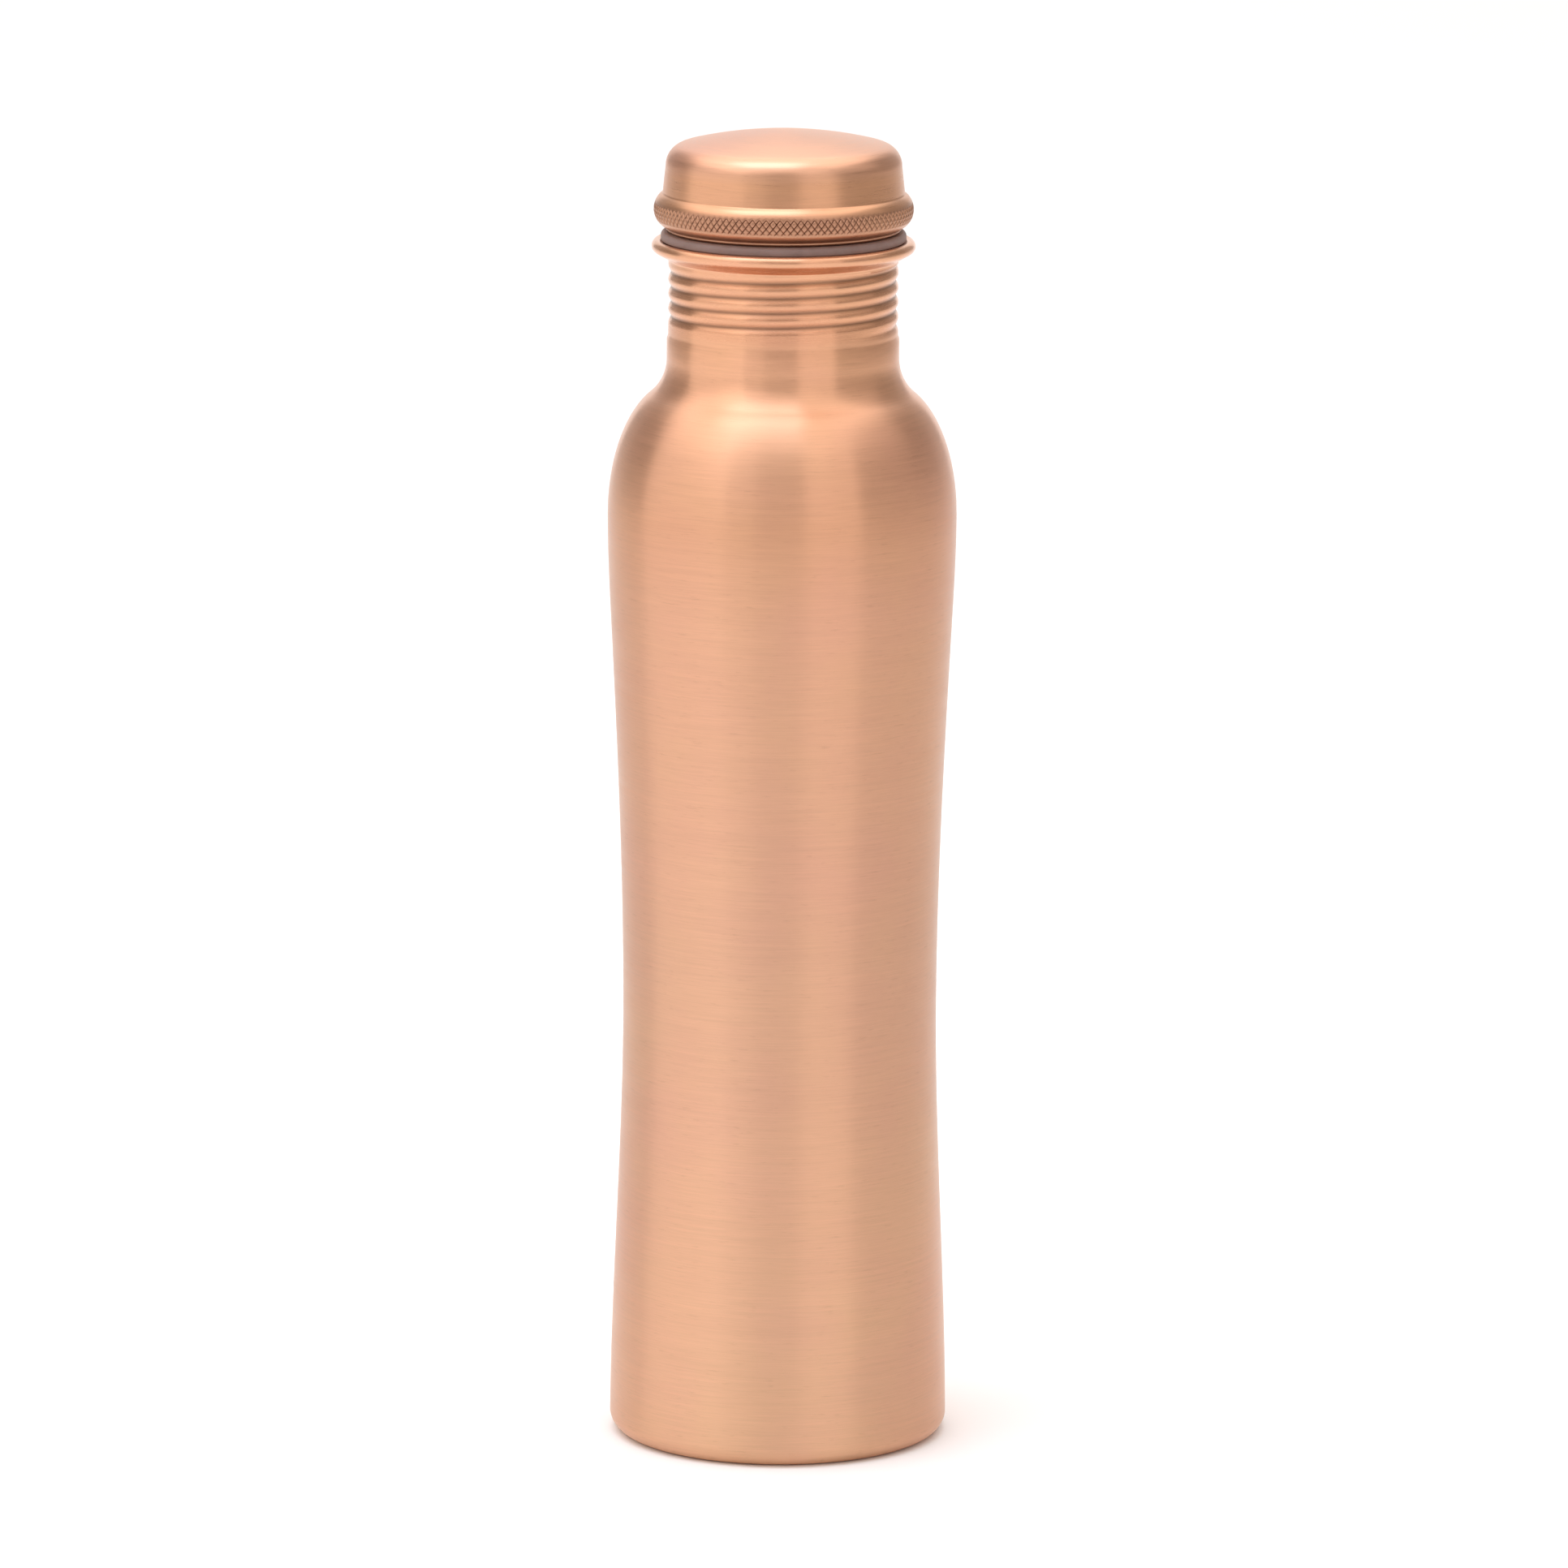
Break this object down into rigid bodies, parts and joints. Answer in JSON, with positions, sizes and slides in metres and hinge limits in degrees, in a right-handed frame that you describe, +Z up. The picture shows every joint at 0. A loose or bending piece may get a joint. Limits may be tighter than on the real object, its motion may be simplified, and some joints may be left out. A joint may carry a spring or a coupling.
{
  "type": "water bottle",
  "caption": "Slim-waisted spun metal water bottle with a rounded shoulder, rolled neck thread and curled rim, and a domed screw cap with a knurled grip and silicone seal.",
  "frame": {"origin": "centre of the flat ring that the bottle stands on", "axes": "+Z up along the bottle's axis, out through the mouth and the cap; the bottle is round, and the thread's lowest turn starts 60 degrees clockwise of +X seen from above"},
  "size_m": [0.0756, 0.0756, 0.2876],
  "materials": {
    "copper_shell": "bare copper, satin, fine brushing round the axis",
    "copper_cap": "bare copper, satin, fine brushing round the axis, knurled grip ring",
    "copper_plug": "bare copper, plain drawn surface",
    "silicone_seal": "soft translucent grey-brown silicone, matt"
  },
  "bodies": {
    "bottle": {"bottle": "copper_shell"},
    "seal": {"gasket": "silicone_seal"},
    "cap": {"cap_shell": "copper_cap", "cap_plug": "copper_plug"}
  },
  "joints": [
    {"name": "cap_lift", "type": "slide", "parent": "bottle", "child": "seal", "axis": [0, 0, 1], "range_m": [0, 0.0209]},
    {"name": "cap_turn", "type": "hinge", "parent": "seal", "child": "cap", "pos_m": [0, 0, 0.266], "axis": [0, 0, 1], "range_deg": [0, 2340]}
  ],
  "couplings": [
    {"joint": "cap_lift", "follows": "cap_turn", "m_per_rad": 0.0005093}
  ]
}
